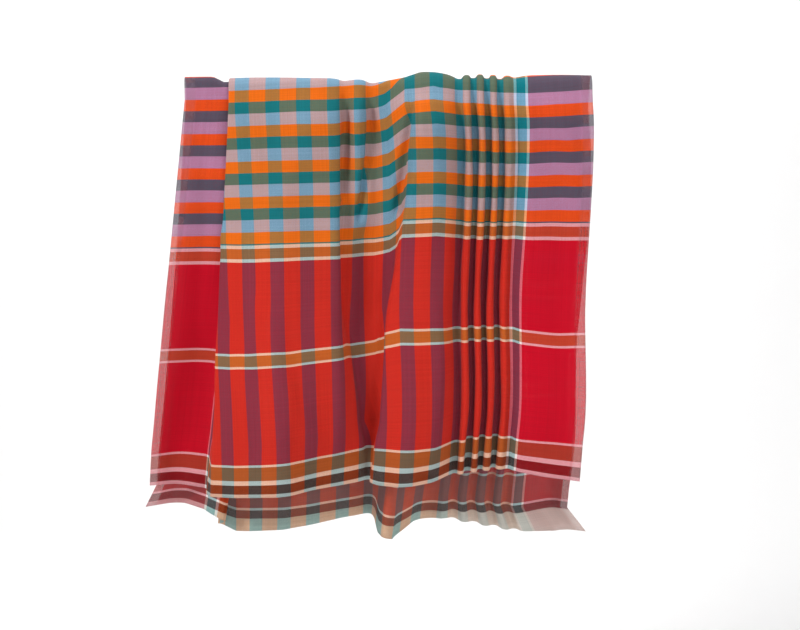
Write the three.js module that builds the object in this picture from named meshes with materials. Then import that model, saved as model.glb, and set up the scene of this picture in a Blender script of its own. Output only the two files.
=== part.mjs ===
// A checked cotton gamcha, the long hand-loomed towel cloth of South Asia, hung double from its middle.
// Millimetres, +Z up. X runs along the hung edge, -Y is the front. The origin is under the crown, halfway along it.
// The cloth is one sheet. It turns over at the crown, and its front half and back half hang down from there.
// A point of the cloth is given by two lengths on the flat cloth: across, from the left selvage, and along.

import * as THREE from "three";

// Flat cloth
const BORDER = 109; // plain border along each selvage
const LINE_BAND = 27; // double line inside each border
const ORANGE_STRIPE = 28;
const TEAL_STRIPE = 24;
const TEAL_STRIPES = 14;
const FIELD = TEAL_STRIPES * (ORANGE_STRIPE + TEAL_STRIPE) + ORANGE_STRIPE;
const WIDTH = 2 * (BORDER + LINE_BAND) + FIELD;
const THICKNESS = 1.2;

// Crown
const CROWN_RADIUS = 10; // of the middle of the sheet, where it turns over
const QUARTER_TURN = (Math.PI / 2) * CROWN_RADIUS;
const CROWN_PRESS = 0.3; // the folds lie this much flatter on the crown than below it
const PRESS_LENGTH = 80; // along the cloth, from the crown to where the folds have their full depth
const RISE_LENGTH = 290; // along the cloth, from the crown to where its rise has died away
const FLARE_LENGTH = 42; // of the back half's end, which flares to the sides
const HEADING_STEP = 1; // step of the sum that follows a row of the cloth across its folds

// Woven lines of the front half, measured up the flat cloth from its end
const FIRST_LINE = 53;
const MIDDLE_BAND = 244;
const UPPER_BAND = 426;

// The share of the drop at which the fold tables are given: near the crown, halfway and near the end
const LEVELS = { top: 0.04, middle: 0.55, foot: 0.9 };
const FOOT_EASE = 0.6; // below the last level the folds go on changing, at this share of their rate

// Where the left selvage hangs
const LEFT_EDGE = {
  front: { top: -347, middle: -388, foot: -415 },
  back: { top: -347, middle: -380, foot: -408 },
};

// Folds from left to right. A row is a strip of the cloth up to the fold that ends it. turn is the length over which
// the cloth bends there. For each level, across is the fold's place on the flat cloth and lean is the angle in
// degrees by which the strip turns out from the crown's line: over 90 it runs back to the left.
const FRONT_FOLDS = [
  { fold: "selvage curl", turn: 40, top: [50, 2], middle: [50, -18], foot: [52, -30] },
  { fold: "border", turn: 24, top: [82, 0], middle: [78, -4], foot: [109, 24] },
  { fold: "pleat, inner turn", turn: 12, top: [164, 0], middle: [154, 14], foot: [156, 80] },
  { fold: "pleat, outer edge", turn: 12, top: [255, 176], middle: [214, 164], foot: [196, 84] },
  { fold: "shoulder", turn: 30, top: [300, 6], middle: [272, 26], foot: [258, 26] },
  { fold: "first crest", turn: 40, top: [348, 0], middle: [332, 22], foot: [332, 22] },
  { fold: "slope", turn: 40, top: [391, -4], middle: [388, -20], foot: [388, -38] },
  { fold: "step", turn: 24, top: [438, -2], middle: [440, -14], foot: [440, -26] },
  { fold: "slit", turn: 12, top: [456, -56], middle: [462, -70], foot: [460, -32] },
  { fold: "ridge", turn: 18, top: [486, 24], middle: [488, -30], foot: [480, -30] },
  { fold: "second slit", turn: 14, top: [515, -56], middle: [515, -14], foot: [493, -38] },
  { fold: "second pleat, foot", turn: 16, top: [580, 32], middle: [537, -4], foot: [504, -36] },
  { fold: "second pleat, edge", turn: 14, top: [618, 44], middle: [561, 92], foot: [527, 100] },
  { fold: "second crest", turn: 40, top: [650, -8], middle: [600, 14], foot: [592, 30] },
  { fold: "fall", turn: 30, top: [672, -36], middle: [660, -10], foot: [646, -24] },
  { fold: "first dip", turn: 12, top: [696, -60], middle: [697, -62], foot: [697, -52] },
  { fold: "gather 1", turn: 12, top: [722, 75], middle: [722, 76], foot: [723, 77] },
  { fold: "dip 1", turn: 12, top: [748, -78], middle: [748, -79], foot: [749, -80] },
  { fold: "gather 2", turn: 12, top: [774, 78], middle: [774, 79], foot: [775, 79] },
  { fold: "dip 2", turn: 12, top: [800, -79], middle: [800, -80], foot: [801, -80] },
  { fold: "gather 3", turn: 12, top: [826, 80], middle: [826, 81], foot: [827, 81] },
  { fold: "dip 3", turn: 12, top: [852, -80], middle: [852, -80], foot: [853, -79] },
  { fold: "gather 4", turn: 12, top: [877, 74], middle: [877, 74], foot: [878, 78] },
  { fold: "dip 4", turn: 12, top: [894, -58], middle: [894, -62], foot: [896, -56] },
  { fold: "double line", turn: 24, top: [918, 34], middle: [918, 54], foot: [918, 66] },
  { fold: "right border", turn: 40, top: [975, 4], middle: [975, 8], foot: [975, 10] },
  { fold: "right selvage", turn: 40, top: [WIDTH, -4], middle: [WIDTH, 0], foot: [WIDTH, 2] },
];
const BACK_FOLDS = [
  { fold: "selvage curl", turn: 40, top: [50, 2], middle: [50, 12], foot: [54, 42] },
  { fold: "border", turn: 24, top: [82, 0], middle: [90, -6], foot: [109, -38] },
  { fold: "pleat, inner turn", turn: 12, top: [164, 0], middle: [165, 2], foot: [152, -20] },
  { fold: "pleat, outer edge", turn: 12, top: [255, 176], middle: [240, 168], foot: [210, 120] },
  { fold: "shoulder", turn: 30, top: [300, 6], middle: [290, -8], foot: [272, -26] },
  { fold: "first crest", turn: 40, top: [348, 0], middle: [340, -10], foot: [332, -14] },
  { fold: "slope", turn: 40, top: [391, -4], middle: [388, 6], foot: [384, -4] },
  { fold: "step", turn: 24, top: [438, -2], middle: [438, 24], foot: [438, 10] },
  { fold: "slit", turn: 12, top: [456, -56], middle: [461, 8], foot: [462, 20] },
  { fold: "ridge", turn: 18, top: [486, 24], middle: [488, 26], foot: [486, 30] },
  { fold: "second slit", turn: 14, top: [515, -56], middle: [525, -40], foot: [536, -70] },
  { fold: "second pleat, foot", turn: 16, top: [580, 32], middle: [562, -16], foot: [562, -56] },
  { fold: "second pleat, edge", turn: 14, top: [618, 44], middle: [592, 40], foot: [592, 60] },
  { fold: "second crest", turn: 40, top: [650, -8], middle: [643, 22], foot: [643, 42] },
  { fold: "fall", turn: 30, top: [672, -36], middle: [669, 34], foot: [669, 40] },
  { fold: "first dip", turn: 12, top: [696, -60], middle: [697, -62], foot: [698, -48] },
  { fold: "gather 1", turn: 12, top: [722, 75], middle: [722, 76], foot: [723, 65] },
  { fold: "dip 1", turn: 12, top: [748, -78], middle: [748, -76], foot: [749, -65] },
  { fold: "gather 2", turn: 12, top: [774, 78], middle: [774, 76], foot: [775, 65] },
  { fold: "dip 2", turn: 12, top: [800, -79], middle: [800, -76], foot: [801, -65] },
  { fold: "gather 3", turn: 12, top: [826, 80], middle: [826, 78], foot: [827, 66] },
  { fold: "dip 3", turn: 12, top: [852, -80], middle: [852, -78], foot: [853, -67] },
  { fold: "gather 4", turn: 12, top: [877, 74], middle: [877, 76], foot: [878, 67] },
  { fold: "dip 4", turn: 12, top: [894, -58], middle: [894, -68], foot: [896, -60] },
  { fold: "double line", turn: 24, top: [918, 34], middle: [918, 54], foot: [918, 28] },
  { fold: "right border", turn: 40, top: [975, 4], middle: [975, 36], foot: [975, 50] },
  { fold: "right selvage", turn: 40, top: [WIDTH, -4], middle: [WIDTH, -38], foot: [WIDTH, -52] },
];

// How the cloth hangs at points across it: the length of the front half along the cloth, then how far below the
// origin its woven lines and its end hang, and the end of the back half. rise lifts the crown there, and flare
// moves the back half's end to the right.
const HANG = [
  { across: 0, front: 729, upper: 287, middle: 460, first: 648, end: 700, backEnd: 743, rise: 9, flare: -18 },
  { across: 48, front: 729, upper: 288, middle: 461, first: 648, end: 702, backEnd: 744, rise: 9, flare: -9 },
  { across: 66, front: 720, upper: 288, middle: 461, first: 648, end: 703, backEnd: 744, rise: 0, flare: -6 },
  { across: 109, front: 720, upper: 288, middle: 461, first: 648, end: 704, backEnd: 748, rise: 0, flare: 0 },
  { across: 170, front: 712, upper: 282, middle: 460, first: 648, end: 702, backEnd: 774, rise: 0, flare: 0 },
  { across: 240, front: 706, upper: 280, middle: 458, first: 644, end: 697, backEnd: 794, rise: 0, flare: 0 },
  { across: 332, front: 702, upper: 276, middle: 450, first: 634, end: 687, backEnd: 784, rise: 0, flare: 0 },
  { across: 435, front: 699, upper: 275, middle: 445, first: 626, end: 682, backEnd: 762, rise: 0, flare: 0 },
  { across: 515, front: 696, upper: 273, middle: 438, first: 622, end: 676, backEnd: 757, rise: 0, flare: 0 },
  { across: 540, front: 690, upper: 268, middle: 427, first: 620, end: 680, backEnd: 780, rise: 0, flare: 0 },
  { across: 582, front: 664, upper: 238, middle: 416, first: 618, end: 678, backEnd: 792, rise: 0, flare: 0 },
  { across: 640, front: 662, upper: 235, middle: 418, first: 617, end: 674, backEnd: 772, rise: 2, flare: 0 },
  { across: 700, front: 666, upper: 242, middle: 418, first: 611, end: 666, backEnd: 766, rise: 0, flare: 4 },
  { across: 760, front: 668, upper: 244, middle: 416, first: 603, end: 661, backEnd: 774, rise: 2, flare: 10 },
  { across: 866, front: 670, upper: 243, middle: 415, first: 600, end: 655, backEnd: 788, rise: 0, flare: 20 },
  { across: 918, front: 670, upper: 243, middle: 420, first: 604, end: 656, backEnd: 793, rise: 0, flare: 25 },
  { across: 965, front: 668, upper: 242, middle: 424, first: 607, end: 664, backEnd: 802, rise: 0, flare: 31 },
  { across: WIDTH, front: 665, upper: 243, middle: 425, first: 611, end: 671, backEnd: 794, rise: 0, flare: 39 },
];

// Grid of the solid
const CROWN_STEPS = 6; // over the half turn
const DROP_STEPS = 11; // down each half
const END_SHARE = 0.95; // of the drop, where one more row holds the bend above the ends
const TIGHT_TURN = 20; // a fold that bends over less than this gets steps of its own
const WIDE_STRIP = 60; // a strip over this wide gets a step in its middle

const mix = (a, b, k) => a + (b - a) * k;
const clamp = (k) => Math.min(1, Math.max(0, k));
const smooth = (k) => clamp(k) ** 2 * (3 - 2 * clamp(k));
const radians = (degrees) => (degrees * Math.PI) / 180;

// A smooth curve through one value at each level, straight on below the last one.
function atLevel(value, share) {
  const { top, middle, foot } = LEVELS;
  const topRate = (value.middle - value.top) / (middle - top);
  const footSlope = (value.foot - value.middle) / (foot - middle);
  const middleSlope = (topRate + footSlope) / 2;
  const topSlope = (3 * topRate - middleSlope) / 2;
  if (share <= top) return value.top;
  if (share >= foot) return value.foot + footSlope * FOOT_EASE * (share - foot);
  const upper = share < middle;
  const [from, to] = upper ? [top, middle] : [middle, foot];
  const [start, end] = upper ? [value.top, value.middle] : [value.middle, value.foot];
  const [startSlope, endSlope] = upper ? [topSlope, middleSlope] : [middleSlope, footSlope];
  const k = (share - from) / (to - from);
  const ends = start * (2 * k ** 3 - 3 * k ** 2 + 1) + end * (3 * k ** 2 - 2 * k ** 3);
  const slopes = startSlope * (k ** 3 - 2 * k ** 2 + k) + endSlope * (k ** 3 - k ** 2);
  return ends + (to - from) * slopes;
}

// The entry i of each fold's pair of numbers, at a share of the drop.
function foldColumn(folds, i, share) {
  return folds.map((row) =>
    atLevel({ top: row.top[i], middle: row.middle[i], foot: row.foot[i] }, share),
  );
}

// Follows one row of the cloth across its folds: x and the depth out from the crown's line, at every millimetre.
function rowCurve(folds, leftEdge, share) {
  const ends = foldColumn(folds, 0, share);
  const leans = foldColumn(folds, 1, share);
  const points = [{ x: atLevel(leftEdge, share), depth: 0 }];
  for (let across = HEADING_STEP / 2; across < WIDTH; across += HEADING_STEP) {
    let lean = leans[0];
    for (let i = 0; i + 1 < folds.length; i++) {
      lean += (leans[i + 1] - leans[i]) * clamp((across - ends[i]) / folds[i].turn + 0.5);
    }
    const last = points[points.length - 1];
    points.push({
      x: last.x + HEADING_STEP * Math.cos(radians(lean)),
      depth: last.depth + HEADING_STEP * Math.sin(radians(lean)),
    });
  }
  return points;
}

function readCurve(points, across) {
  const i = Math.min(points.length - 2, Math.floor(across / HEADING_STEP));
  const k = across / HEADING_STEP - i;
  return {
    x: mix(points[i].x, points[i + 1].x, k),
    depth: mix(points[i].depth, points[i + 1].depth, k),
  };
}

function hangAt(across) {
  const i = Math.min(
    HANG.length - 2,
    HANG.findLastIndex((row) => row.across <= across),
  );
  const k = (across - HANG[i].across) / (HANG[i + 1].across - HANG[i].across);
  const at = (name) => mix(HANG[i][name], HANG[i + 1][name], k);
  return {
    front: at("front"),
    upper: at("upper"),
    middle: at("middle"),
    first: at("first"),
    end: at("end"),
    backEnd: at("backEnd"),
    rise: at("rise"),
    flare: at("flare"),
  };
}

// How far below the origin a point of the front half hangs, at a length along the cloth from the crown.
function frontFall(hang, along) {
  const knots = [
    [QUARTER_TURN, CROWN_RADIUS],
    [hang.front - UPPER_BAND, hang.upper],
    [hang.front - MIDDLE_BAND, hang.middle],
    [hang.front - FIRST_LINE, hang.first],
    [hang.front, hang.end],
  ];
  const i = Math.min(
    knots.length - 2,
    Math.max(0, knots.findLastIndex((knot) => knot[0] <= along)),
  );
  const k = (along - knots[i][0]) / (knots[i + 1][0] - knots[i][0]);
  return mix(knots[i][1], knots[i + 1][1], k);
}

// The rows of the grid: half is 1 on the front and -1 on the back. Rows of the crown have a turn angle from its top,
// and rows below it have the share of the drop.
function gridRows() {
  const shares = [];
  for (let i = 1; i < DROP_STEPS; i++) shares.push(i / DROP_STEPS);
  shares.push(END_SHARE, 1);
  const rows = shares.map((share) => ({ half: -1, share })).reverse();
  for (let i = 0; i <= CROWN_STEPS; i++) {
    const angle = Math.PI * (i / CROWN_STEPS - 0.5);
    rows.push({ half: angle < 0 ? -1 : 1, share: 0, angle: Math.abs(angle) });
  }
  rows.push(...shares.map((share) => ({ half: 1, share })));
  return rows;
}

// Where the columns of the grid cross a row: they follow the folds, with steps where the cloth bends.
function columnPlaces(folds, share) {
  const ends = [0, ...foldColumn(folds, 0, share).slice(0, -1), WIDTH];
  const turns = [0, ...folds.map((row) => row.turn)];
  const places = [];
  for (let i = 0; i < folds.length; i++) {
    const [start, end] = [ends[i], ends[i + 1]];
    const width = end - start;
    const topWidth = folds[i].top[0] - (i ? folds[i - 1].top[0] : 0);
    places.push(start);
    if (i && turns[i] < TIGHT_TURN) places.push(start + Math.min(turns[i] / 2, width / 3));
    if (topWidth > WIDE_STRIP || turns[i] >= TIGHT_TURN) places.push(start + width / 2);
    if (turns[i + 1] < TIGHT_TURN) places.push(end - Math.min(turns[i + 1] / 2, width / 3));
  }
  places.push(WIDTH);
  return places;
}

// The middle of the sheet along one row of the grid.
function rowPoints(row) {
  const front = row.half > 0;
  const folds = front ? FRONT_FOLDS : BACK_FOLDS;
  const curve = rowCurve(folds, front ? LEFT_EDGE.front : LEFT_EDGE.back, row.share);
  return columnPlaces(folds, row.share).map((across) => {
    const { x, depth } = readCurve(curve, across);
    const hang = hangAt(across);
    const drop = front ? hang.front : hang.backEnd - CROWN_RADIUS + QUARTER_TURN;
    const along = row.share ? mix(QUARTER_TURN, drop, row.share) : row.angle * CROWN_RADIUS;
    const press = mix(CROWN_PRESS, 1, smooth(along / PRESS_LENGTH));
    const lift = hang.rise * (1 - clamp(along / RISE_LENGTH));
    const out = depth * press;
    if (!row.share) {
      const reach = CROWN_RADIUS + out;
      const y = -row.half * reach * Math.sin(row.angle);
      const z = THICKNESS / 2 - CROWN_RADIUS + reach * Math.cos(row.angle) + lift;
      return new THREE.Vector3(x, y, z);
    }
    const fall = front ? frontFall(hang, along) : along - QUARTER_TURN + CROWN_RADIUS;
    const flare = front ? 0 : hang.flare * clamp(1 - (drop - along) / FLARE_LENGTH);
    return new THREE.Vector3(x + flare, -row.half * (CROWN_RADIUS + out), THICKNESS / 2 - fall + lift);
  });
}

// The direction out of the sheet at each point of the grid, away from the space under the crown.
function outwardNormals(grid) {
  const lastRow = grid.length - 1;
  const lastColumn = grid[0].length - 1;
  return grid.map((row, r) =>
    row.map((point, c) => {
      const across = new THREE.Vector3();
      across.subVectors(row[Math.min(c + 1, lastColumn)], row[Math.max(c - 1, 0)]);
      const along = new THREE.Vector3();
      along.subVectors(grid[Math.min(r + 1, lastRow)][c], grid[Math.max(r - 1, 0)][c]);
      return along.cross(across).normalize();
    }),
  );
}

// One closed solid: the grid moved out and in by half the thickness, and joined around its rim.
function sheetSolid(grid) {
  const rows = grid.length;
  const columns = grid[0].length;
  const normals = outwardNormals(grid);
  const positions = [];
  for (const side of [1, -1]) {
    grid.forEach((row, r) =>
      row.forEach((point, c) => {
        const moved = point.clone().addScaledVector(normals[r][c], (side * THICKNESS) / 2);
        positions.push(moved.x, moved.y, moved.z);
      }),
    );
  }
  const outer = (r, c) => r * columns + c;
  const inner = (r, c) => rows * columns + outer(r, c);
  const index = [];
  const quad = (a, b, c, d) => index.push(a, b, c, a, c, d);
  for (let r = 0; r + 1 < rows; r++) {
    for (let c = 0; c + 1 < columns; c++) {
      quad(outer(r, c), outer(r + 1, c), outer(r + 1, c + 1), outer(r, c + 1));
      quad(inner(r, c), inner(r, c + 1), inner(r + 1, c + 1), inner(r + 1, c));
    }
  }
  for (let r = 0; r + 1 < rows; r++) {
    quad(outer(r, 0), inner(r, 0), inner(r + 1, 0), outer(r + 1, 0));
    quad(outer(r + 1, columns - 1), inner(r + 1, columns - 1), inner(r, columns - 1), outer(r, columns - 1));
  }
  for (let c = 0; c + 1 < columns; c++) {
    quad(outer(0, c + 1), inner(0, c + 1), inner(0, c), outer(0, c));
    quad(outer(rows - 1, c), inner(rows - 1, c), inner(rows - 1, c + 1), outer(rows - 1, c + 1));
  }
  const geometry = new THREE.BufferGeometry();
  geometry.setAttribute("position", new THREE.Float32BufferAttribute(positions, 3));
  geometry.setIndex(index);
  geometry.computeVertexNormals();
  return geometry;
}

const cotton = new THREE.MeshStandardMaterial({
  name: "checked cotton",
  color: 0xc0282d,
  roughness: 0.9,
  metalness: 0,
  side: THREE.DoubleSide,
});

const grid = gridRows().map(rowPoints);
const cloth = new THREE.Mesh(sheetSolid(grid), cotton);
cloth.name = "gamcha_cloth";

const gamcha = new THREE.Group();
gamcha.name = "gamcha";
gamcha.add(cloth);

export default gamcha;
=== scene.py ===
# %% [markdown]
# # A checked gamcha, hung double
#
# A gamcha is a light cotton towel cloth, woven on a hand loom. This one hangs double from its middle, in
# loose pleats on its left and narrow gathers on its right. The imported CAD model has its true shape. Here
# the same cloth gets its thin sheet, its weave and its colours, and then light and a camera.
#
# Lengths on the cloth are in millimetres, as a weaver would give them. Places in the scene are in metres.

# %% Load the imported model
import math

import bmesh
import bpy
import numpy as np
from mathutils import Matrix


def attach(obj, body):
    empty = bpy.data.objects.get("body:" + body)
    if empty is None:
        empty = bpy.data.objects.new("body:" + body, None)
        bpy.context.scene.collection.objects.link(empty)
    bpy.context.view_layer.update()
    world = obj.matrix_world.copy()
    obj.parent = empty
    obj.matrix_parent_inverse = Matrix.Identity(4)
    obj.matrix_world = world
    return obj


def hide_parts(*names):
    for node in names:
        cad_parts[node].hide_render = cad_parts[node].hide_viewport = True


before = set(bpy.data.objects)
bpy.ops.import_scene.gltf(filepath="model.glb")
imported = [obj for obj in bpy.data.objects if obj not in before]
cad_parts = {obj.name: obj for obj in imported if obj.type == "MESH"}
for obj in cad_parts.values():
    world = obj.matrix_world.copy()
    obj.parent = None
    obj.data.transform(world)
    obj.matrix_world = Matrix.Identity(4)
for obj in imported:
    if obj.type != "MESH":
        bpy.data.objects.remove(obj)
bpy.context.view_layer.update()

MM = 0.001

# %% [markdown]
# ## Camera
#
# The cloth is seen from straight in front and a little above. A long lens from three metres keeps the two
# sides nearly parallel. Putting the camera first means that every later step can be judged from the same
# place.

# %% Put the camera in front
IMAGE_WIDTH = 800
FOCAL_PIXELS = 1731
SENSOR_WIDTH = 36
CAMERA_DISTANCE = 3.0
CAMERA_LIFT = math.radians(8)
CAMERA_TARGET = (0.0187, 0, -0.399)

camera_data = bpy.data.cameras.new("camera")
camera_data.sensor_width = SENSOR_WIDTH
camera_data.lens = FOCAL_PIXELS * SENSOR_WIDTH / IMAGE_WIDTH
camera = bpy.data.objects.new("camera", camera_data)
bpy.context.collection.objects.link(camera)
camera.location = (
    CAMERA_TARGET[0],
    -CAMERA_DISTANCE * math.cos(CAMERA_LIFT),
    CAMERA_TARGET[2] + CAMERA_DISTANCE * math.sin(CAMERA_LIFT),
)
camera.rotation_euler = (math.pi / 2 - CAMERA_LIFT, 0, 0)
bpy.context.scene.camera = camera
print("lens:", round(camera_data.lens, 1), "mm")

# %% [markdown]
# ## The flat cloth
#
# The weaver's plan comes first, because the folds are placed by it. Across the cloth lie a plain border, a
# double line, a field of orange and blue-green stripes, and the same again in reverse. One banded line
# closes them there, a second one crosses the crimson halfway down, and a third lies above the end.

# %% The plan of the cloth
BORDER = 109
LINE_BAND = 27
ORANGE_STRIPE = 28
TEAL_STRIPE = 24
TEAL_STRIPES = 14
FIELD = TEAL_STRIPES * (ORANGE_STRIPE + TEAL_STRIPE) + ORANGE_STRIPE
WIDTH = 2 * (BORDER + LINE_BAND) + FIELD
LENGTH = 1465
FIRST_LINE = 53
MIDDLE_BAND = 244
UPPER_BAND = 426
CHECKS_START = 432
print("cloth:", WIDTH, "by", LENGTH, "mm")

# %% [markdown]
# ## How it hangs
#
# A hanging cloth keeps its width: it only bends. So each row of the cloth is followed from the left selvage
# to the right one like a path on a map. A strip between two folds has a lean, the angle by which it turns
# out from the crown's line, and over 90 degrees it runs back to the left, as the middle of a pleat does.
# The folds are given near the crown, halfway down and near the end, and blend from one to the next.
#
# A cloth simulation would find folds of its own. Placing them one by one gives each one where it really
# falls.

# %% The folds
LEVEL_SHARES = (0.04, 0.55, 0.9)
FOOT_EASE = 0.6
LEFT_EDGE = {"front": (-347, -388, -415), "back": (-347, -380, -408)}

# Each row: fold, length over which it turns, then (place across, lean) at each of the three levels.
FRONT_FOLDS = [
    ("selvage curl", 40, (50, 2), (50, -18), (52, -30)),
    ("border", 24, (82, 0), (78, -4), (109, 24)),
    ("pleat, inner turn", 12, (164, 0), (154, 14), (156, 80)),
    ("pleat, outer edge", 12, (255, 176), (214, 164), (196, 84)),
    ("shoulder", 30, (300, 6), (272, 26), (258, 26)),
    ("first crest", 40, (348, 0), (332, 22), (332, 22)),
    ("slope", 40, (391, -4), (388, -20), (388, -38)),
    ("step", 24, (438, -2), (440, -14), (440, -26)),
    ("slit", 12, (456, -56), (462, -70), (460, -32)),
    ("ridge", 18, (486, 24), (488, -30), (480, -30)),
    ("second slit", 14, (515, -56), (515, -14), (493, -38)),
    ("second pleat, foot", 16, (580, 32), (537, -4), (504, -36)),
    ("second pleat, edge", 14, (618, 44), (561, 92), (527, 100)),
    ("second crest", 40, (650, -8), (600, 14), (592, 30)),
    ("fall", 30, (672, -36), (660, -10), (646, -24)),
    ("first dip", 12, (696, -60), (697, -62), (697, -52)),
    ("gather 1", 12, (722, 75), (722, 76), (723, 77)),
    ("dip 1", 12, (748, -78), (748, -79), (749, -80)),
    ("gather 2", 12, (774, 78), (774, 79), (775, 79)),
    ("dip 2", 12, (800, -79), (800, -80), (801, -80)),
    ("gather 3", 12, (826, 80), (826, 81), (827, 81)),
    ("dip 3", 12, (852, -80), (852, -80), (853, -79)),
    ("gather 4", 12, (877, 74), (877, 74), (878, 78)),
    ("dip 4", 12, (894, -58), (894, -62), (896, -56)),
    ("double line", 24, (918, 34), (918, 54), (918, 66)),
    ("right border", 40, (975, 4), (975, 8), (975, 10)),
    ("right selvage", 40, (WIDTH, -4), (WIDTH, 0), (WIDTH, 2)),
]
BACK_FOLDS = [
    ("selvage curl", 40, (50, 2), (50, 12), (54, 42)),
    ("border", 24, (82, 0), (90, -6), (109, -38)),
    ("pleat, inner turn", 12, (164, 0), (165, 2), (152, -20)),
    ("pleat, outer edge", 12, (255, 176), (240, 168), (210, 120)),
    ("shoulder", 30, (300, 6), (290, -8), (272, -26)),
    ("first crest", 40, (348, 0), (340, -10), (332, -14)),
    ("slope", 40, (391, -4), (388, 6), (384, -4)),
    ("step", 24, (438, -2), (438, 24), (438, 10)),
    ("slit", 12, (456, -56), (461, 8), (462, 20)),
    ("ridge", 18, (486, 24), (488, 26), (486, 30)),
    ("second slit", 14, (515, -56), (525, -40), (536, -70)),
    ("second pleat, foot", 16, (580, 32), (562, -16), (562, -56)),
    ("second pleat, edge", 14, (618, 44), (592, 40), (592, 60)),
    ("second crest", 40, (650, -8), (643, 22), (643, 42)),
    ("fall", 30, (672, -36), (669, 34), (669, 40)),
    ("first dip", 12, (696, -60), (697, -62), (698, -48)),
    ("gather 1", 12, (722, 75), (722, 76), (723, 65)),
    ("dip 1", 12, (748, -78), (748, -76), (749, -65)),
    ("gather 2", 12, (774, 78), (774, 76), (775, 65)),
    ("dip 2", 12, (800, -79), (800, -76), (801, -65)),
    ("gather 3", 12, (826, 80), (826, 78), (827, 66)),
    ("dip 3", 12, (852, -80), (852, -78), (853, -67)),
    ("gather 4", 12, (877, 74), (877, 76), (878, 67)),
    ("dip 4", 12, (894, -58), (894, -68), (896, -60)),
    ("double line", 24, (918, 34), (918, 54), (918, 28)),
    ("right border", 40, (975, 4), (975, 36), (975, 50)),
    ("right selvage", 40, (WIDTH, -4), (WIDTH, -38), (WIDTH, -52)),
]
print(len(FRONT_FOLDS), "folds on each half")

# %% How far it hangs
# Each row: place across, length of the front half along the cloth, then how far below the crown the upper
# band, the middle band, the first line and the front end hang, the end of the back half, and the crown's
# rise there. The last two say how much longer (below zero, shorter) the cut left the back end, and how far
# that end flares to the right.
HANG = np.array([
    (0, 729, 287, 460, 648, 700, 743, 9, -12, -18),
    (48, 729, 288, 461, 648, 702, 744, 9, -12, -9),
    (66, 720, 288, 461, 648, 703, 744, 0, -12, -6),
    (109, 720, 288, 461, 648, 704, 748, 0, -12, 0),
    (170, 712, 282, 460, 648, 702, 774, 0, -6, 0),
    (240, 706, 280, 458, 644, 697, 794, 0, 1, 0),
    (332, 702, 276, 450, 634, 687, 784, 0, -1, 0),
    (435, 699, 275, 445, 626, 682, 762, 0, -5, 0),
    (515, 696, 273, 438, 622, 676, 757, 0, -4, 0),
    (540, 690, 268, 427, 620, 680, 780, 0, 0, 0),
    (582, 664, 238, 416, 618, 678, 792, 0, 2, 0),
    (640, 662, 235, 418, 617, 674, 772, 2, -6, 0),
    (700, 666, 242, 418, 611, 666, 766, 0, -8, 4),
    (760, 668, 244, 416, 603, 661, 774, 2, -2, 10),
    (866, 670, 243, 415, 600, 655, 788, 0, 8, 20),
    (918, 670, 243, 420, 604, 656, 793, 0, 14, 25),
    (965, 668, 242, 424, 607, 664, 802, 0, 19, 31),
    (WIDTH, 665, 243, 425, 611, 671, 794, 0, 19, 39),
])
CROWN_RADIUS = 10
QUARTER_TURN = math.pi / 2 * CROWN_RADIUS
CROWN_PRESS = 0.3
PRESS_LENGTH = 80
RISE_LENGTH = 290
FLARE_LENGTH = 42
SOLID_THICKNESS = 1.2


def hang_at(across):
    """The lengths of HANG at places across the cloth."""
    return [np.interp(across, HANG[:, 0], column) for column in HANG[:, 1:].T]


print("front end hangs", HANG[:, 5].min(), "to", HANG[:, 5].max(), "mm down")

# %% Follow one row of the cloth across its folds
def smooth(k):
    """A soft step from 0 to 1."""
    k = np.clip(k, 0, 1)
    return k * k * (3 - 2 * k)


def at_level(values, share):
    """A smooth curve through a value at each level, straight on below the last one."""
    top, middle, foot = LEVEL_SHARES
    top_rate = (values[1] - values[0]) / (middle - top)
    foot_slope = (values[2] - values[1]) / (foot - middle)
    middle_slope = (top_rate + foot_slope) / 2
    top_slope = (3 * top_rate - middle_slope) / 2
    if share <= top:
        return values[0]
    if share >= foot:
        return values[2] + foot_slope * FOOT_EASE * (share - foot)
    upper = share < middle
    span = (top, middle) if upper else (middle, foot)
    ends = values[:2] if upper else values[1:]
    slopes = (top_slope, middle_slope) if upper else (middle_slope, foot_slope)
    size = span[1] - span[0]
    k = (share - span[0]) / size
    value = ends[0] * (2 * k**3 - 3 * k**2 + 1) + ends[1] * (3 * k**2 - 2 * k**3)
    return value + size * (slopes[0] * (k**3 - 2 * k**2 + k) + slopes[1] * (k**3 - k**2))


def fold_column(folds, entry, share):
    """The place (0) or the lean (1) of every fold at a share of the drop."""
    return [at_level([level[entry] for level in row[2:]], share) for row in folds]


def row_curve(folds, left_edge, share):
    """x and the depth out from the crown's line at every millimetre across a row."""
    ends = fold_column(folds, 0, share)
    leans = fold_column(folds, 1, share)
    middles = np.arange(0.5, WIDTH)
    lean = np.full(middles.shape, float(leans[0]))
    for i in range(len(folds) - 1):
        lean += (leans[i + 1] - leans[i]) * np.clip((middles - ends[i]) / folds[i][1] + 0.5, 0, 1)
    steps = np.radians(lean)
    x = np.concatenate([[0], np.cumsum(np.cos(steps))]) + at_level(left_edge, share)
    return x, np.concatenate([[0], np.cumsum(np.sin(steps))])


curve_x, curve_depth = row_curve(FRONT_FOLDS, LEFT_EDGE["front"], 0.5)
print("halfway down the front is", round(np.ptp(curve_x)), "mm wide and", round(np.ptp(curve_depth)), "deep")

# %% [markdown]
# ## The grid
#
# The cloth's mesh is a grid whose columns run down the cloth. They keep to the folds: each fold has close
# columns of its own, wherever it wanders, and the flat strips between have wider ones. An even grid would
# need nearly twice as many points for folds as crisp.

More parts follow.
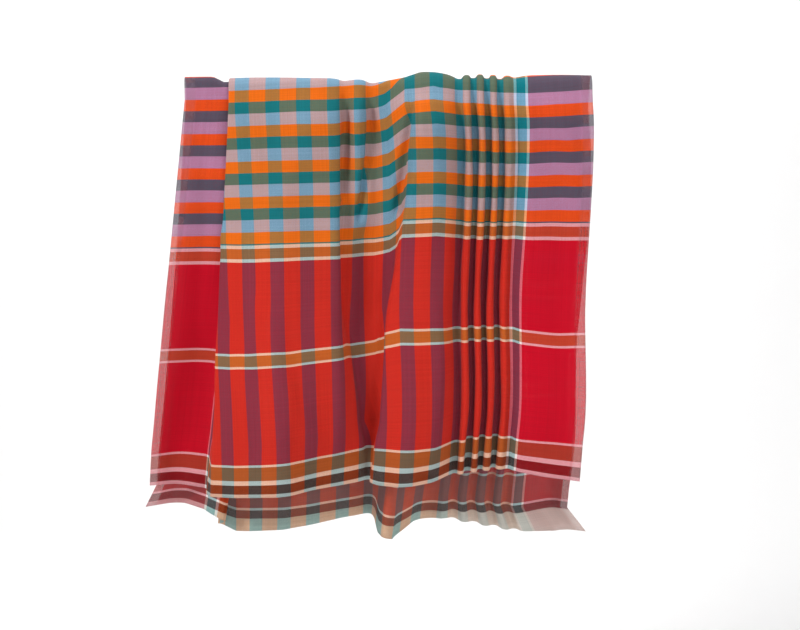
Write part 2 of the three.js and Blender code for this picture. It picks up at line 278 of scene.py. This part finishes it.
# %% Lay out the columns and rows
FOLD_STEPS = 3
FOLD_ROOM = 14
STRIP_STEP = 5
CROWN_ROWS = 12
DROP_ROWS = 74
STRIP_STEPS = []
for i, row in enumerate(FRONT_FOLDS):
    start = FRONT_FOLDS[i - 1][2][0] if i else 0
    STRIP_STEPS.append(max(1, round((row[2][0] - start - FOLD_ROOM) / STRIP_STEP)))


def column_places(folds, share):
    """Where the columns cross a row, as places across the cloth."""
    ends = [0] + fold_column(folds, 0, share)[:-1] + [WIDTH]
    turns = [0] + [row[1] for row in folds[:-1]] + [0]
    places = []
    for i, steps in enumerate(STRIP_STEPS):
        start, end = ends[i], ends[i + 1]
        inner = start + min(turns[i] / 2, (end - start) / 3)
        outer = end - min(turns[i + 1] / 2, (end - start) / 3)
        if turns[i]:
            places += list(np.linspace(start, inner, FOLD_STEPS, endpoint=False))
        places += list(np.linspace(inner, outer, steps, endpoint=False))
        if turns[i + 1]:
            places += list(np.linspace(outer, end, FOLD_STEPS, endpoint=False))
    return np.array(places + [WIDTH])


columns = len(column_places(FRONT_FOLDS, 0))
print(columns, "columns and", 2 * DROP_ROWS + CROWN_ROWS + 1, "rows")

# %% Place the rows
def place_row(half, share, angle=None):
    """The points of one row, and where they lie on the flat cloth."""
    side = "front" if half > 0 else "back"
    folds = FRONT_FOLDS if half > 0 else BACK_FOLDS
    across = column_places(folds, share)
    curve = row_curve(folds, LEFT_EDGE[side], share)
    whole = np.arange(WIDTH + 1)
    x = np.interp(across, whole, curve[0])
    depth = np.interp(across, whole, curve[1])
    front, upper, middle, first, end, back_end, rise, spare, flare = hang_at(across)
    back = back_end - CROWN_RADIUS + QUARTER_TURN
    drop = front if half > 0 else back
    if angle is None:
        down = QUARTER_TURN + (drop - QUARTER_TURN) * share
    else:
        down = np.full(across.shape, angle * CROWN_RADIUS)
    settle = smooth(down / PRESS_LENGTH)
    out = depth * (CROWN_PRESS + (1 - CROWN_PRESS) * settle)
    lift = rise * (1 - np.clip(down / RISE_LENGTH, 0, 1))
    if angle is not None:
        y = -half * (CROWN_RADIUS + out) * math.sin(angle)
        z = SOLID_THICKNESS / 2 - CROWN_RADIUS + (CROWN_RADIUS + out) * math.cos(angle) + lift
    else:
        fall = down - QUARTER_TURN + CROWN_RADIUS
        if half > 0:
            lines = [front - UPPER_BAND, front - MIDDLE_BAND, front - FIRST_LINE, front]
            knots = np.array([np.full(front.shape, QUARTER_TURN)] + lines)
            falls = np.array([np.full(front.shape, CROWN_RADIUS), upper, middle, first, end])
            fall = np.array([np.interp(d, k, f) for d, k, f in zip(down, knots.T, falls.T)])
        y = -half * (CROWN_RADIUS + out)
        z = SOLID_THICKNESS / 2 - fall + lift
    if half > 0:
        along = front - down
    else:
        along = front + down * (LENGTH + spare - front) / back
        x = x + flare * np.clip(1 - (back - down) / FLARE_LENGTH, 0, 1)
    return np.stack([x, y, z], axis=1), np.stack([across, along], axis=1)


rows = [(-1, i / DROP_ROWS, None) for i in range(DROP_ROWS, 0, -1)]
for i in range(CROWN_ROWS + 1):
    angle = math.pi * (i / CROWN_ROWS - 0.5)
    rows.append((-1 if angle < 0 else 1, 0, abs(angle)))
rows += [(1, i / DROP_ROWS, None) for i in range(1, DROP_ROWS + 1)]
placed = [place_row(*row) for row in rows]
points = np.array([row[0] for row in placed])
flat = np.array([row[1] for row in placed])
print("grid:", points.shape)

# %% [markdown]
# ## Creases
#
# So far each fold is as even as folded card, and cotton isn't. A crease is a soft trough or ridge along a
# path on the flat cloth, and it fades out to its sides. The deepest ones lie between the two pleats, where
# the cloth was pinched. A slow and shallow waviness keeps the broad strips from looking ironed.

# %% Press the creases in
# Each row: path on the flat cloth as (across, along), half-width, and height, which is below zero for a
# trough.
CREASES = [
    ([(462, 690), (460, 600), (455, 512)], 6, -15),
    ([(458, 480), (461, 341), (480, 230), (499, 62)], 11, -10),
    ([(500, 430), (506, 360), (504, 250), (502, 110)], 26, -16),
    ([(513, 642), (504, 572), (494, 534), (485, 472)], 6, -13),
    ([(484, 666), (480, 590), (482, 500)], 9, 4),
    ([(500, 394), (497, 317), (488, 263)], 7, -4),
    ([(530, 420), (536, 380), (528, 310)], 8, -4),
    ([(598, 640), (584, 600), (566, 540), (552, 470)], 7, -11),
    ([(75, 560), (150, 470), (270, 430)], 20, 2.5),
    ([(262, 470), (300, 350), (380, 290)], 22, -3),
    ([(300, 330), (330, 200), (388, 93)], 20, 3),
    ([(250, 300), (293, 203), (284, 90)], 16, -3),
    ([(350, 281), (364, 164), (352, 70)], 18, -2.5),
    ([(420, 300), (440, 180), (430, 70)], 18, 3),
    ([(310, 690), (330, 560), (400, 450)], 26, -3),
    ([(400, 690), (385, 590), (340, 500)], 22, 2.5),
    ([(627, 640), (640, 500), (628, 340), (650, 200), (636, 59)], 16, 3),
    ([(930, 600), (975, 500), (981, 385), (987, 67)], 22, -3.5),
    ([(960, 640), (1000, 520), (1010, 300)], 16, 3),
    ([(30, 640), (53, 517), (59, 338), (79, 80)], 18, -3),
    ([(100, 600), (90, 420), (110, 250)], 16, 2.5),
    ([(300, 1300), (330, 1400), (352, 1465)], 20, 3),
    ([(430, 1290), (440, 1380), (428, 1465)], 18, -3),
    ([(640, 1280), (652, 1390), (648, 1465)], 16, 3),
]
SETTLE_DEPTH = 70
WAVE_HEIGHT = 0.7


def path_distance(places, path):
    """How far places on the flat cloth lie from a path of straight parts."""
    nearest = np.full(places.shape[:-1], np.inf)
    for start, end in zip(path[:-1], path[1:]):
        side = np.subtract(end, start)
        k = np.clip((places - start) @ side / (side @ side), 0, 1)
        nearest = np.minimum(nearest, np.linalg.norm(places - start - k[..., None] * side, axis=-1))
    return nearest


down_step = np.gradient(points, axis=0)
across_step = np.gradient(points, axis=1)
outward = np.cross(down_step, across_step)
outward /= np.linalg.norm(outward, axis=-1, keepdims=True)
flat_across, flat_along = flat[..., 0], flat[..., 1]
# Slow waves of unequal lengths, so that no pattern shows.
height = WAVE_HEIGHT * np.sin(flat_across / 23 + flat_along / 71) * np.sin(flat_along / 47 - flat_across / 90)
height += WAVE_HEIGHT * np.sin(flat_across / 41 - flat_along / 29) * np.sin(flat_along / 83 + 1)
for path, reach, rise in CREASES:
    height += rise * np.exp(-((path_distance(flat, path) / reach) ** 2))
points += outward * (height * smooth(-points[..., 2] / SETTLE_DEPTH))[..., None]
print(len(CREASES), "creases,", round(height.min(), 1), "to", round(height.max(), 1), "mm")

# %% [markdown]
# ## The sheet
#
# The grid becomes one mesh. Its UV map holds each point's place on the flat cloth, so the weave can be laid
# out in real measures and bends with the folds. Then the sheet gets the thickness of a light cotton.

# %% Make the sheet
SHEET_THICKNESS = 0.5 * MM

cloth_mesh = bpy.data.meshes.new("gamcha_sheet")
cloth = bpy.data.objects.new("gamcha_sheet", cloth_mesh)
bpy.context.collection.objects.link(cloth)
row_count, column_count = points.shape[:2]
number = np.arange(row_count * column_count).reshape(row_count, column_count)
corners = [number[:-1, :-1], number[1:, :-1], number[1:, 1:], number[:-1, 1:]]
quads = np.stack(corners, axis=-1).reshape(-1, 4)
cloth_mesh.from_pydata((points.reshape(-1, 3) * MM).tolist(), [], quads.tolist())
uv_map = cloth_mesh.uv_layers.new(name="cloth")
corner_points = np.empty(len(cloth_mesh.loops), dtype=int)
cloth_mesh.loops.foreach_get("vertex_index", corner_points)
uv_map.data.foreach_set("uv", (flat.reshape(-1, 2)[corner_points] * MM).ravel())
cloth_mesh.shade_smooth()

bpy.ops.object.select_all(action="DESELECT")
cloth.select_set(True)
bpy.context.view_layer.objects.active = cloth
thicken = cloth.modifiers.new("thickness", "SOLIDIFY")
thicken.thickness = SHEET_THICKNESS
thicken.offset = 0
bpy.ops.object.modifier_apply(modifier=thicken.name)
print("sheet:", len(cloth_mesh.polygons), "faces")

# %% [markdown]
# ## The weave
#
# In a check cloth the colours lie in the threads. The warp runs the length of the cloth and has one colour
# for each stripe, and the weft crosses it and changes colour from band to band. The eye sees a blend of the
# two, with the weft a little stronger, because it is beaten in tightly. So the material keeps one plan for
# the warp and one for the weft, and blends them. Painting every square by itself would take hundreds of
# colours.
#
# Dyed threads blend as the eye judges them, so the blend is made on screen values, and one Gamma node at
# the end turns them into the linear colours that the light needs.

# %% A helper for nodes
class Wire:
    """The output of a node. Python's operators on it add Math nodes."""

    def __init__(self, finish, socket):
        self.finish = finish
        self.socket = socket

    def maths(self, operation, *values):
        return self.finish.node("ShaderNodeMath", {"operation": operation}, dict(enumerate(values)))

    def __add__(self, other):
        return self.maths("ADD", self, other)

    __radd__ = __add__

    def __sub__(self, other):
        return self.maths("SUBTRACT", self, other)

    def __rsub__(self, other):
        return self.maths("SUBTRACT", other, self)

    def __mul__(self, other):
        return self.maths("MULTIPLY", self, other)

    __rmul__ = __mul__

    def __mod__(self, other):
        return self.maths("FLOORED_MODULO", self, other)

    def __gt__(self, other):
        return self.maths("GREATER_THAN", self, other)


class Finish:
    """A material and the nodes that make it."""

    def __init__(self, name):
        self.material = bpy.data.materials.new(name)
        self.material.use_nodes = True
        self.tree = self.material.node_tree
        self.tree.nodes.clear()

    def node(self, kind, settings=None, inputs=None, output=0):
        """Adds a node: first its settings, then the values or wires of its sockets."""
        node = self.tree.nodes.new(kind)
        for name, value in (settings or {}).items():
            if name == "stops":
                self.set_stops(node.color_ramp, value)
            else:
                setattr(node, name, value)
        for name, value in (inputs or {}).items():
            if isinstance(value, Wire):
                self.tree.links.new(value.socket, node.inputs[name])
            else:
                node.inputs[name].default_value = value
        return Wire(self, node.outputs[output]) if node.outputs else None

    def set_stops(self, ramp, stops):
        """Gives a ramp hard-edged bands, each a place from 0 to 1 and a colour from 0 to 255."""
        ramp.interpolation = "CONSTANT"
        while len(ramp.elements) < len(stops):
            ramp.elements.new(1)
        for element, (place, colour) in zip(ramp.elements, stops):
            element.position = place
            element.color = [part / 255 for part in colour] + [1]

    def blend(self, share, first, second):
        """A colour between two colours."""
        inputs = {0: share, 6: first, 7: second}
        return self.node("ShaderNodeMix", {"data_type": "RGBA"}, inputs, output=2)


cotton = Finish("checked_cotton")
print("material:", cotton.material.name)

# %% Yarn colours, on screen values
CRIMSON = (200, 15, 40)
TEAL = (18, 118, 128)
ORANGE = (245, 115, 25)
ORANGE_WARP = (214, 98, 32)
TEAL_WARP = (44, 110, 110)
LIGHT = (167, 187, 226)
OLIVE = (185, 95, 48)
RUST = (155, 80, 45)
WHITE = (245, 235, 232)
PALE = (208, 212, 200)
DARK = (95, 35, 28)
BRICK = (175, 50, 42)
# The pale colour that the back end's right corner turns.
PALE_CORNER = (218, 205, 194)
print("stripes of warp:", ORANGE_WARP, TEAL_WARP)

# %% Places on the cloth
cloth_place = cotton.node("ShaderNodeUVMap", {"uv_map": "cloth"})
across = cotton.node("ShaderNodeSeparateXYZ", inputs={0: cloth_place}) * (1 / MM)
along_raw = cotton.node("ShaderNodeSeparateXYZ", inputs={0: cloth_place}, output=1) * (1 / MM)

# No weft lies quite straight: it wanders by a millimetre or so along the cloth.
FLAT_NOISE = {"noise_dimensions": "2D"}
WANDER_SCALE = (9, 3, 1)
WANDER = 3
wander_place = cotton.node("ShaderNodeMapping", inputs={"Vector": cloth_place, "Scale": WANDER_SCALE})
wander = cotton.node("ShaderNodeTexNoise", FLAT_NOISE, {"Vector": wander_place, "Scale": 1.0})
along = along_raw + (wander - 0.5) * WANDER
print("weft wanders over", WANDER, "mm")

# %% Warp: the stripes that run down the cloth
def bands(plan, length):
    """Ramp stops from a plan of (where the band starts, colour), over a length."""
    return [(start / length, colour) for start, colour in plan]


# In a plan, each band has the place where it starts, in millimetres, and its colour.
from_selvage = across.maths("MINIMUM", across, WIDTH - across)
EDGE_PLAN = [(0, CRIMSON), (109, WHITE), (114, TEAL), (131, WHITE), (136, CRIMSON)]
EDGE_LENGTH = 200
edge_warp = cotton.node(
    "ShaderNodeValToRGB", {"stops": bands(EDGE_PLAN, EDGE_LENGTH)}, {0: from_selvage * (1 / EDGE_LENGTH)}
)
STRIPE_REPEAT = ORANGE_STRIPE + TEAL_STRIPE
FIELD_START = BORDER + LINE_BAND
field_place = ((across - FIELD_START) % STRIPE_REPEAT) * (1 / STRIPE_REPEAT)
field_plan = [(0, ORANGE_WARP), (ORANGE_STRIPE, TEAL_WARP)]
field_warp = cotton.node("ShaderNodeValToRGB", {"stops": bands(field_plan, STRIPE_REPEAT)}, {0: field_place})
warp = cotton.blend(from_selvage > FIELD_START, edge_warp, field_warp)
print("stripes repeat every", STRIPE_REPEAT, "mm")

# %% Weft: the bands that cross it
from_end = along.maths("MINIMUM", along, LENGTH - along)
END_PLAN = [
    (0, WHITE), (4, DARK), (20, WHITE), (29, RUST), (51, WHITE), (56, CRIMSON),
    (219, WHITE), (224, OLIVE), (241, WHITE), (246, CRIMSON),
    (400, WHITE), (405, OLIVE), (423, WHITE), (428, TEAL),
]
BACK_END_PLAN = [(0, PALE), (20, DARK), (34, WHITE), (38, BRICK), (86, WHITE), (90, CRIMSON)]
BACK_END_LENGTH = 100
END_LENGTH = 500
end_weft = cotton.node(
    "ShaderNodeValToRGB", {"stops": bands(END_PLAN, END_LENGTH)}, {0: from_end * (1 / END_LENGTH)}
)
back_weft = cotton.node(
    "ShaderNodeValToRGB",
    {"stops": bands(BACK_END_PLAN, BACK_END_LENGTH)},
    {0: from_end * (1 / BACK_END_LENGTH)},
)
CHECK_REPEAT = 58.5
check_place = ((along - CHECKS_START) % CHECK_REPEAT) * (1 / CHECK_REPEAT)
check_plan = [(0, ORANGE), (19, LIGHT), (39.5, TEAL)]
check_weft = cotton.node("ShaderNodeValToRGB", {"stops": bands(check_plan, CHECK_REPEAT)}, {0: check_place})
weft = cotton.blend(from_end > CHECKS_START, end_weft, check_weft)
weft = cotton.blend(along > LENGTH - BACK_END_LENGTH, weft, back_weft)
print("checks repeat every", CHECK_REPEAT, "mm")

# %% Blend the threads
THREAD = 0.65
WEFT_SHARE = 0.62
THREAD_CONTRAST = 0.25
warp_wave = across.maths("SINE", across * (math.pi / THREAD))
weft_wave = across.maths("SINE", along_raw * (math.pi / THREAD))
crossing = warp_wave * weft_wave
woven = cotton.blend(WEFT_SHARE + crossing * THREAD_CONTRAST, warp, weft)
print("weft's share:", WEFT_SHARE)

# %% Turn the back end's right corner pale and make the yarn uneven
# The last millimetres of the back end turn pale, more so towards its right side.
PALE_CORNER_LENGTH = 21
pale_corner_inputs = {"Value": across, "From Min": 640, "From Max": 760, "To Max": 0.75}
pale_corner_share = cotton.node("ShaderNodeMapRange", inputs=pale_corner_inputs) * (along > LENGTH - PALE_CORNER_LENGTH)
pale_corner_rgba = [part / 255 for part in PALE_CORNER] + [1]
colour = cotton.blend(pale_corner_share, woven, pale_corner_rgba)
UNEVEN = 0.12
STREAK_SCALE = (4, 700, 1)
CORD_SCALE = (700, 4, 1)
streak_place = cotton.node("ShaderNodeMapping", inputs={"Vector": cloth_place, "Scale": STREAK_SCALE})
streaks = cotton.node("ShaderNodeTexNoise", FLAT_NOISE, {"Vector": streak_place, "Scale": 1.0})
cord_place = cotton.node("ShaderNodeMapping", inputs={"Vector": cloth_place, "Scale": CORD_SCALE})
cords = cotton.node("ShaderNodeTexNoise", FLAT_NOISE, {"Vector": cord_place, "Scale": 1.0})
shade = 1 - UNEVEN + streaks * UNEVEN + cords * UNEVEN
shaded = cotton.node("ShaderNodeVectorMath", {"operation": "SCALE"}, {0: colour, "Scale": shade})
SCREEN_GAMMA = 2.2
linear = cotton.node("ShaderNodeGamma", inputs={"Color": shaded, "Gamma": SCREEN_GAMMA})
print("yarn varies by", UNEVEN)

# %% [markdown]
# ## Surface
#
# Hand-loomed cotton is matt, and so open that some light comes through it, most at the selvages. Each
# crossing of two threads is a small bump.

# %% Make it matt and sheer
SELVAGE = 20
SELVAGE_EASE = 3
SELVAGE_COVER = 0.62
COVER = 0.82
cover_inputs = {
    "Value": from_selvage,
    "From Min": SELVAGE - SELVAGE_EASE,
    "From Max": SELVAGE,
    "To Min": SELVAGE_COVER,
    "To Max": COVER,
}
alpha = cotton.node("ShaderNodeMapRange", inputs=cover_inputs)
relief = crossing.maths("ABSOLUTE", crossing)
bump = cotton.node("ShaderNodeBump", inputs={"Height": relief, "Strength": 0.35, "Distance": 0.2 * MM})
surface = cotton.node(
    "ShaderNodeBsdfPrincipled",
    inputs={
        "Base Color": linear,
        "Roughness": 0.9,
        "Specular IOR Level": 0.1,
        "Sheen Weight": 0.04,
        "Sheen Roughness": 0.5,
        "Alpha": alpha,
        "Normal": bump,
    },
)
cotton.node("ShaderNodeOutputMaterial", inputs={"Surface": surface})
cloth.data.materials.append(cotton.material)
print("nodes:", len(cotton.tree.nodes))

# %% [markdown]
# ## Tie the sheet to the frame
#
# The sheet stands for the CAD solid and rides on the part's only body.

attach(cloth, "root")
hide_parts("gamcha_cloth")
print("declared:", cloth.name)

# %% [markdown]
# ## Floor and light
#
# A pale floor that sweeps up into a wall gives a background with no line in it. Large area lights give the
# soft shadows of a studio. The stronger one stands at the left, so that the valley between the pleats lies
# in shade. One more light looks away from the cloth and brightens the wall.

# %% Sweep the floor up into a wall
FLOOR_Z = -1.3
FLOOR_SIZE = 12
WALL_Y = 2.6
SWEEP = 1.0

bpy.ops.object.select_all(action="DESELECT")
bpy.ops.mesh.primitive_plane_add(size=FLOOR_SIZE, location=(0, WALL_Y - FLOOR_SIZE / 2, FLOOR_Z))
floor = bpy.context.object
floor.name = "floor"
bpy.ops.object.mode_set(mode="EDIT")
bpy.ops.mesh.select_mode(type="EDGE")
bpy.ops.mesh.select_all(action="DESELECT")
floor_mesh = bmesh.from_edit_mesh(floor.data)
for edge in floor_mesh.edges:
    edge.select_set(all(vert.co.y > 0 for vert in edge.verts))
bmesh.update_edit_mesh(floor.data)
bpy.ops.mesh.extrude_region_move(TRANSFORM_OT_translate={"value": (0, 0, FLOOR_SIZE / 2)})
bpy.ops.mesh.select_all(action="DESELECT")
for edge in floor_mesh.edges:
    edge.select_set(all(vert.co.y > 0 and abs(vert.co.z) < SWEEP / 2 for vert in edge.verts))
bmesh.update_edit_mesh(floor.data)
bpy.ops.mesh.bevel(offset=SWEEP, segments=16)
bpy.ops.object.mode_set(mode="OBJECT")
floor.data.shade_smooth()
paper = Finish("paper")
paper_inputs = {"Base Color": (0.94, 0.94, 0.94, 1), "Roughness": 0.9}
paper_surface = paper.node("ShaderNodeBsdfPrincipled", inputs=paper_inputs)
paper.node("ShaderNodeOutputMaterial", inputs={"Surface": paper_surface})
floor.data.materials.append(paper.material)
print("floor:", len(floor.data.polygons), "faces")

# %% Light it
def area_light(name, place, size, power, target=CAMERA_TARGET):
    """A square light that faces the middle of the cloth, or another target."""
    bpy.ops.object.light_add(type="AREA", location=place)
    light = bpy.context.object
    light.name = name
    light.data.size = size
    light.data.energy = power
    away = [place[i] - target[i] for i in range(3)]
    flat_distance = math.hypot(away[0], away[1])
    light.rotation_euler = (math.atan2(flat_distance, away[2]), 0, math.atan2(away[1], away[0]) + math.pi / 2)


area_light("key", (-2.4, -2.0, 1.6), 0.8, 76)
area_light("fill", (1.6, -2.8, 0.5), 2.0, 34)
area_light("wall light", (0, 0.7, 1.6), 2.5, 45, target=(0, WALL_Y, -0.4))
world = bpy.data.worlds.new("studio")
bpy.context.scene.world = world
world.use_nodes = True
world.node_tree.nodes["Background"].inputs["Color"].default_value = (1, 1, 1, 1)
world.node_tree.nodes["Background"].inputs["Strength"].default_value = 0.34
bpy.context.scene.view_settings.view_transform = "Standard"
